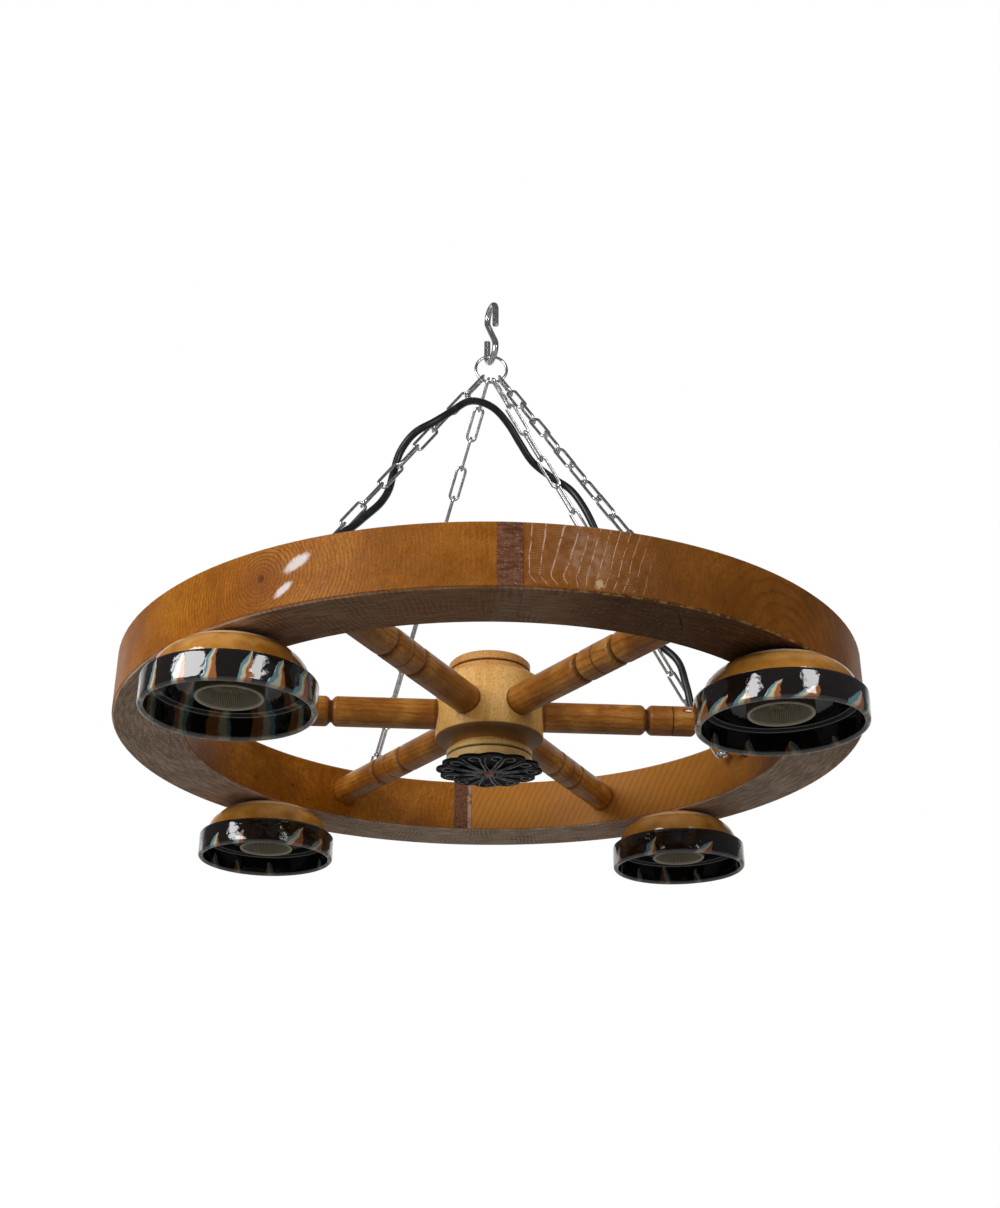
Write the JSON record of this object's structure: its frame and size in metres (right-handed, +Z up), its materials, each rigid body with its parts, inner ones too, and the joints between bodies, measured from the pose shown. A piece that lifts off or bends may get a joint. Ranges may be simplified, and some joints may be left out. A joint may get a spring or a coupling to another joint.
{
  "type": "chandelier",
  "caption": "Hanging wagon wheel chandelier: a spoked wooden wheel on link chains from an S-hook, with glazed shades and lampholders under its rim.",
  "frame": {"origin": "on the wheel's axis, at the seat inside the S-hook's upper loop, where the ceiling's hook bears", "axes": "+Z up along the wheel's axis; the rim's two joints lie on the Y axis, the front one towards -Y"},
  "size_m": [0.5499, 0.55, 0.446],
  "materials": {
    "rim_wood": "honey-brown lacquered beech",
    "strip_wood": "dark red-brown stained, torn grain",
    "hub_wood": "light turned wood under lacquer",
    "zinc": "bright zinc-plated",
    "black_iron": "black, satin",
    "copper": "aged copper-brown",
    "glaze": "glossy glaze, black-brown band under an ochre dome",
    "holder": "olive grey, satin",
    "insulator": "dark, matt",
    "brass": "plain brass",
    "wire": "insulated wire",
    "clip": "off-white, matt",
    "rubber": "black, matt",
    "cable": "black, satin"
  },
  "bodies": {
    "hook": {"s_hook": "zinc"},
    "ring": {"gather_ring": "zinc"},
    "wheel": {"chain_front_left": "zinc", "chain_back_left": "zinc", "chain_back_right": "zinc", "chain_front_right": "zinc", "chain_eyes": "zinc", "rim_left": "rim_wood", "rim_right": "rim_wood", "joint_strip_front": "strip_wood", "joint_strip_back": "strip_wood", "felloe_dowels": "hub_wood", "hub": "hub_wood", "spoke_0": "rim_wood", "spoke_1": "rim_wood", "spoke_2": "rim_wood", "spoke_3": "rim_wood", "spoke_4": "rim_wood", "spoke_5": "rim_wood", "rosette": "black_iron", "rosette_screw": "copper", "shade_0": "glaze", "shade_1": "glaze", "shade_2": "glaze", "shade_3": "glaze", "holder_base_0": "insulator", "holder_base_1": "insulator", "holder_base_2": "insulator", "holder_base_3": "insulator", "screw_shell_0": "brass", "screw_shell_1": "brass", "screw_shell_2": "brass", "screw_shell_3": "brass", "centre_contact_0": "brass", "centre_contact_1": "brass", "centre_contact_2": "brass", "centre_contact_3": "brass", "holder_skirt_0": "holder", "holder_skirt_1": "holder", "holder_skirt_2": "holder", "holder_skirt_3": "holder", "lamp_nipples": "brass", "nipple_nuts": "brass", "rim_wiring": "wire", "wire_clips": "clip", "cable_connectors": "clip", "cable_grommets": "rubber", "lighting_cable": "cable"}
  },
  "joints": [
    {"name": "ring_swing", "type": "hinge", "parent": "hook", "child": "ring", "pos_m": [0, 0, -0.05225], "axis": [0.2924, -0.9563, 0], "range_deg": [-20, 20]},
    {"name": "wheel_swing", "type": "hinge", "parent": "ring", "child": "wheel", "pos_m": [0, 0, -0.0725], "axis": [1, 0, 0], "range_deg": [-20, 20]}
  ]
}
